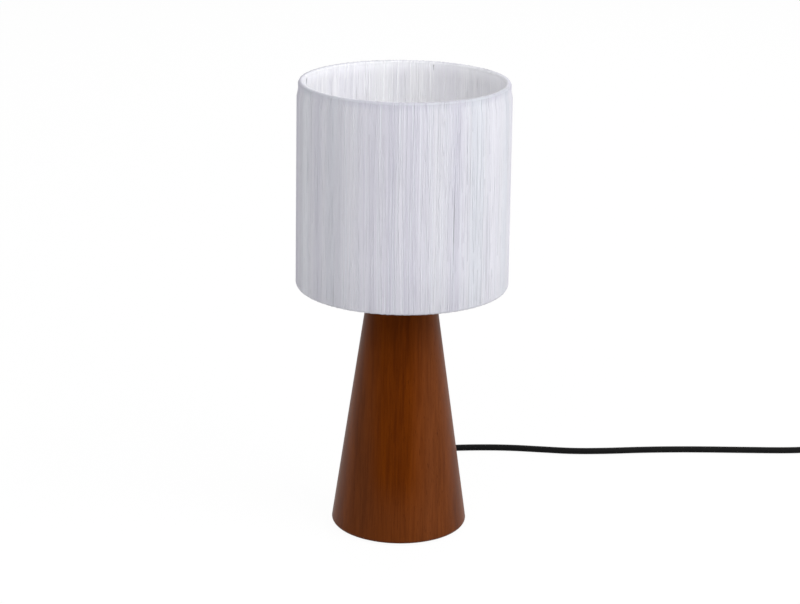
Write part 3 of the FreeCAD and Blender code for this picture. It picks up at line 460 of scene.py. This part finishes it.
def string_loop(reach, thick):
    """One turn of yarn round both rings, in the XZ plane: up outside, over the top ring, down and under."""
    shape = bmesh.new()
    foot = Vector((LOW_RING[0] + reach, 0.0, LOW_RING[1])) * MM
    bmesh.ops.create_circle(shape, segments=4, radius=thick / 2 * MM, matrix=Matrix.Translation(foot))
    open_edges = list(shape.edges)

    def drawn(stops, side):
        nonlocal open_edges
        for radius, height in stops:
            made = bmesh.ops.extrude_edge_only(shape, edges=open_edges)["geom"]
            verts = [v for v in made if isinstance(v, bmesh.types.BMVert)]
            here = sum((v.co for v in verts), Vector()) / len(verts)
            there = Vector((radius + side * reach, 0.0, height)) * MM
            bmesh.ops.translate(shape, verts=verts, vec=there - here)
            open_edges = [e for e in made if isinstance(e, bmesh.types.BMEdge)
                          and e.verts[0] in verts and e.verts[1] in verts]

    def bent(ring):
        nonlocal open_edges
        verts = list({v for e in open_edges for v in e.verts})
        middle = Vector((ring[0], 0.0, ring[1])) * MM
        made = bmesh.ops.spin(shape, geom=verts + open_edges, cent=middle, axis=(0, 1, 0),
                              angle=-math.pi, steps=ROUND_A_RING, use_duplicate=False)["geom_last"]
        open_edges = [e for e in made if isinstance(e, bmesh.types.BMEdge)]

    def at(share):
        return tuple(a + (b - a) * share for a, b in zip(LOW_RING, KNEE))

    drawn([at(0.25), at(0.5), at(0.75), KNEE, DIP, TOP_RING], 1)
    bent(TOP_RING)
    drawn([KNEE, at(0.66), at(0.33), LOW_RING], -1)
    bent(LOW_RING)
    bmesh.ops.remove_doubles(shape, verts=shape.verts, dist=SEAM * MM)
    bmesh.ops.recalc_face_normals(shape, faces=shape.faces)
    return shape


def parted(angle, share):
    """The angle of a turn inside the shade, pushed away from each parting near it, most at the top."""
    for bearing, wide in PARTINGS:
        off = apart(math.degrees(angle), bearing)
        if abs(off) < PARTING_NEAR:
            push = wide * math.exp(-max(0.0, 1 - share) / PARTING_DEPTH_SHARE)
            push *= math.exp(-abs(off) / max(PARTING_SPREAD, wide))
            angle += math.radians(push if off > 0 else -push)
    return angle


def wound(name, count, material, reach, thick, jitter, lean, wander, lift, seed):
    """Many turns of yarn round the shade, each a little out of place, out of line and out of step.

    reach is from the middle of a ring's wire to the middle of the yarn, thick is the yarn's width and lift
    is how far a turn may stand proud, in millimetres. jitter is a share of the step between turns. lean and
    wander are in degrees round the shade.
    """
    rng = random.Random(seed)
    loop = string_loop(reach, thick)
    turn_mesh = bpy.data.meshes.new("turn")
    loop.to_mesh(turn_mesh)
    loop.free()
    shape = bmesh.new()
    strand = shape.verts.layers.float.new("strand")
    cast = shape.verts.layers.float.new("cast")
    inner = shape.verts.layers.float.new("inner")
    low, high = LOW_RING[1] * MM, TOP_RING[1] * MM
    step = 2 * math.pi / count
    for n in range(count):
        first = len(shape.verts)
        shape.from_mesh(turn_mesh)
        shape.verts.ensure_lookup_table()
        start = n * step + rng.uniform(-1, 1) * jitter * step
        lean_out, lean_in = rng.gauss(0, lean), rng.gauss(0, lean)
        width = rng.uniform(*WIDTH_SHARES)
        rise = rng.uniform(0.0, lift) * MM
        drift = rng.uniform(0, WAVER_START)
        bundle = sum(much * round_noise(change, start, layer) for change, layer, much in BUNDLES)
        # Bundles differ more on the left, away from the broad light: the winding's own unevenness plus
        # painted relief shade
        uneven = BUNDLE_TONE - BUNDLE_SHADE_SIDE * math.cos(start)
        tone = held(rng.gauss(MIDDLE_TONE, TONE_SPREAD) + uneven * bundle)
        tint = held(MIDDLE_CAST + CAST_DEPTH * round_noise(CAST_CHANGE, start, CAST_LAYER)
                    + rng.gauss(0, CAST_SPREAD))
        sunk_shade_at = rng.uniform(0, 1) if rng.random() < SUNK_CHANCE else None
        for v in shape.verts[first:]:
            share = (v.co.z - low) / (high - low)
            across = v.co.x - (LOW_RING[0] + (TOP_RING[0] - LOW_RING[0]) * share) * MM
            outer = across > 0
            layer = WAVER_OUTSIDE if outer else WAVER_INSIDE
            sway = noise.noise(Vector((drift, share * WAVER_CHANGE, layer))) * wander
            angle = start + math.radians((lean_out if outer else lean_in) * (share - 0.5) + sway)
            if not outer:
                angle = parted(angle, share)
            radius = v.co.x + (rise if outer else -rise)
            side = v.co.y * width
            v.co.x = radius * math.cos(angle) - side * math.sin(angle)
            v.co.y = radius * math.sin(angle) + side * math.cos(angle)
            v[strand] = tone
            # Painted shade along a sunk turn
            if sunk_shade_at is not None:
                v[strand] = tone - SUNK_SHADE_TONE * math.exp(-((share - sunk_shade_at) / SUNK_LENGTH_SHARE) ** 2)
            # Over the crown of the top ring the turn is painted dark: painted shade
            if v.co.z > (TOP_RING[1] - CROWN) * MM:
                v[strand] = CROWN_SHADE_TONE
            v[cast] = tint
            v[inner] = held(-across / (reach * MM))
    bpy.data.meshes.remove(turn_mesh)
    piece(name, shape, material, "shade")


def under_layer(material):
    """The inner layers of yarn, wound tight: a closed wall round both rings under the turns that show."""
    reach = YARN_REACH - UNDER_DEPTH
    points = []
    for ring, first in ((TOP_RING, 0), (LOW_RING, 180)):
        for n in range(UNDER_STEPS + 1):
            a = math.radians(first + n * 180 / UNDER_STEPS)
            points.append((ring[0] + reach * math.cos(a), ring[1] + reach * math.sin(a)))
        if ring is TOP_RING:
            for share in (0.2, 0.4, 0.6, 0.8, 1.0):
                points.append((ring[0] + (KNEE[0] - ring[0]) * share - reach,
                               ring[1] + (KNEE[1] - ring[1]) * share))
        else:
            points += [(KNEE[0] + reach, KNEE[1]), (DIP[0] + reach, DIP[1])]
    shape = bmesh.new()
    verts = [shape.verts.new(Vector((radius, 0.0, height)) * MM) for radius, height in points]
    edges = [shape.edges.new(pair) for pair in zip(verts, verts[1:] + verts[:1])]
    bmesh.ops.spin(shape, geom=verts + edges, cent=(0, 0, 0), axis=(0, 0, 1), angle=2 * math.pi,
                   steps=UNDER_SIDES, use_merge=True, use_duplicate=False)
    bmesh.ops.recalc_face_normals(shape, faces=shape.faces)
    strand = shape.verts.layers.float.new("strand")
    inner = shape.verts.layers.float.new("inner")
    for v in shape.verts:
        v[inner] = 1.0 if math.hypot(v.co.x, v.co.y) < TOP_RING[0] * MM else 0.0
        # Duller than the turns: painted shade between them
        v[strand] = UNDER_SHADE_TONE
        here = math.degrees(math.atan2(v.co.y, v.co.x))
        # Painted shade in the partings, growing to full from PARTED_LOW upwards
        deep = held((v.co.z / MM - PARTED_LOW) / PARTED_FADE)
        for bearing, wide in PARTINGS:
            if v[inner] and abs(apart(here, bearing)) < wide + PARTING_EDGE:
                v[strand] -= PARTED_SHADE_TONE * deep
        # Over the crown of the top ring the under layer is painted dark: painted shade
        if v.co.z > (TOP_RING[1] - CROWN) * MM:
            v[strand] = CROWN_SHADE_TONE
    return piece("string_under_layer", shape, material, "shade")


def foot_felt():
    """Felt disc under the foot, its lower rim a little rounded."""
    low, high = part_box("felt_pad")
    radius = (high.x - low.x) / 2
    shape = bmesh.new()
    bmesh.ops.create_circle(shape, cap_ends=True, segments=96, radius=radius,
                            matrix=Matrix.Translation((0, 0, low.z)))
    made = bmesh.ops.extrude_face_region(shape, geom=list(shape.faces))["geom"]
    top = [v for v in made if isinstance(v, bmesh.types.BMVert)]
    bmesh.ops.translate(shape, verts=top, vec=(0, 0, high.z - low.z))
    rim = [e for e in shape.edges if max(v.co.z for v in e.verts) < high.z / 2]
    bmesh.ops.bevel(shape, geom=rim, offset=0.5 * MM, offset_type="OFFSET", segments=3, profile=0.5,
                    affect="EDGES", material=-1)
    bmesh.ops.recalc_face_normals(shape, faces=shape.faces)
    pad = piece("foot_felt", shape, finishes["felt"], "lamp")
    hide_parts("felt_pad")


def flex(name, points, body, *replaced):
    """A length of the lead along its route: one smooth open spline."""
    curve = bpy.data.curves.new(name, "CURVE")
    curve.dimensions = "3D"
    curve.bevel_depth = LEAD_RADIUS * MM
    curve.bevel_resolution = 5
    curve.use_fill_caps = True
    curve.resolution_u = 12
    spline = curve.splines.new("NURBS")
    spline.points.add(len(points) - 1)
    for control, spot in zip(spline.points, points):
        control.co = (*(Vector(spot) * MM), 1.0)
    spline.order_u = 3
    spline.use_endpoint_u = True
    spline.use_smooth = True
    made = bpy.data.objects.new(name, curve)
    bpy.context.scene.collection.objects.link(made)
    curve.materials.append(finishes["lead_sheath"])
    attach(made, body)
    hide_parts(*replaced)
    return made


def coil_points():
    """Points of the coiled lead: half turns that shrink on the table, climb and grow, and a last quarter."""
    radii = [(0.0, COIL_RADIUS - n * COIL_PITCH / 2) for n in range(COIL_IN)]
    inner = COIL_RADIUS - COIL_IN * COIL_PITCH / 2
    radii += [(COIL_PITCH, inner + n * COIL_PITCH / 2) for n in range(COIL_OUT + 1)]
    points, y, side, was = [], COIL_Y, 1, 0.0
    wide = 1 / math.cos(math.pi / 2 / COIL_STEPS)
    for turn, (rise, radius) in enumerate(radii, 1):
        middle = y - side * radius
        for n in range(COIL_STEPS if turn < len(radii) else COIL_STEPS // 2):
            share = (n + 0.5) / COIL_STEPS
            a = math.pi * share
            height = COIL_LOW + was + (rise - was) * share
            points.append((COIL_X + side * radius * wide * math.sin(a),
                           middle + side * radius * wide * math.cos(a), height))
        y = middle - side * radius
        side, was = -side, rise
    return points


def leads():
    """The lead from the lamp to the switch, and from the switch through the coil to the plug."""
    run = flex("lead_to_switch", LEAD_RUN, "lamp", "lead_run")
    rest = flex("lead_to_plug", LEAD_FEED + coil_points() + LEAD_TAIL, "lamp",
                "lead_feed", "lead_coil", "lead_tail")


# Stage


def white_to_the_eye(tree, shader, white, end, strength, share):
    """Mixes plain white into what the camera, a mirror or glass sees, and leaves the light as it is."""
    direct, mirrored, through = (tree.node("LightPath", out=f"Is {ray} Ray")
                                 for ray in ("Camera", "Glossy", "Transmission"))
    seen = direct.maths("MAXIMUM", mirrored).maths("MAXIMUM", through)
    plain = tree.node(white, None, {"Color": (1.0, 1.0, 1.0), "Strength": strength})
    mixed = tree.node("MixShader", None, {0: seen * share, 1: Value(tree, shader.outputs[0]), 2: plain})
    tree.feed(tree.nodes[end].inputs["Surface"], mixed)


def surround():
    """A pale world on all sides, plain white to the eye."""
    world = bpy.data.worlds.new("surround")
    bpy.context.scene.world = world
    tree = Tree(world)
    ground = tree.nodes["Background"]
    tree.feed(ground.inputs["Color"], SURROUND_COLOUR)
    tree.feed(ground.inputs["Strength"], SURROUND_STRENGTH)
    white_to_the_eye(tree, ground, "Background", "World Output", 1.0, 1.0)


def pale_floor():
    """A plain matt floor, almost white to the eye, that keeps the lamp's shadow."""
    shape = bmesh.new()
    bmesh.ops.create_grid(shape, x_segments=1, y_segments=1, size=FLOOR_HALF_SIDE,
                          matrix=Matrix.Translation((0, 0, -FLOOR_DROP)))
    mesh = bpy.data.meshes.new("floor")
    shape.to_mesh(mesh)
    shape.free()
    floor = bpy.data.objects.new("floor", mesh)
    bpy.context.scene.collection.objects.link(floor)
    finish = Finish("floor", Base_Color=FLOOR_COLOUR, Roughness=0.9, Specular_IOR_Level=0.0)
    white_to_the_eye(finish, finish.shader, "Emission", "Material Output", FLOOR_WHITE, FLOOR_WHITE_SHARE)
    mesh.materials.append(finish.material)


def studio():
    """A pale surround and floor, one broad light from the right, and weaker ones in front and behind."""
    surround()
    pale_floor()
    for name, where, sides, power in LIGHTS:
        light = bpy.data.lights.new(name, "AREA")
        light.shape = "RECTANGLE"
        light.size, light.size_y = sides
        light.energy = power
        made = bpy.data.objects.new(name, light)
        made.location = where
        made.rotation_mode = "QUATERNION"
        made.rotation_quaternion = (Vector(LIGHT_TARGET) - Vector(where)).to_track_quat("-Z", "Y")
        bpy.context.scene.collection.objects.link(made)


def eye():
    """The photograph's own place, angle and length of lens."""
    lens = bpy.data.cameras.new("eye")
    lens.sensor_width = SENSOR
    lens.lens = SENSOR * FOCAL_PIXELS / PICTURE_WIDTH
    lens.clip_start, lens.clip_end = 0.1, 50.0
    camera = bpy.data.objects.new("eye", lens)
    bpy.context.scene.collection.objects.link(camera)
    tilt = math.radians(EYE_TILT)
    target = Vector(EYE_TARGET) * MM
    camera.location = target + Vector((0.0, -math.cos(tilt), math.sin(tilt))) * EYE_DISTANCE * MM
    turn = Matrix.Rotation(math.pi / 2 - tilt, 4, "X") @ Matrix.Rotation(math.radians(EYE_ROLL), 4, "Z")
    camera.rotation_euler = turn.to_euler()
    bpy.context.scene.camera = camera


eye()
studio()
dress_nodes()
leads()
foot_felt()
backing = under_layer(paper_string("string_under", 0.2))
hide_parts("string_wrap")
wound("string_turns", 640, paper_string("string_close", 0.0),
      reach=1.75, thick=1.2, jitter=0.3, lean=0.35, wander=0.5, lift=0.04, seed=3)
wound("string_last_turns", 240, paper_string("string_loose", 0.4),
      reach=2.1, thick=0.85, jitter=0.9, lean=2.0, wander=1.8, lift=0.08, seed=8)

bpy.context.scene.view_settings.view_transform = "Standard"
bpy.context.view_layer.update()
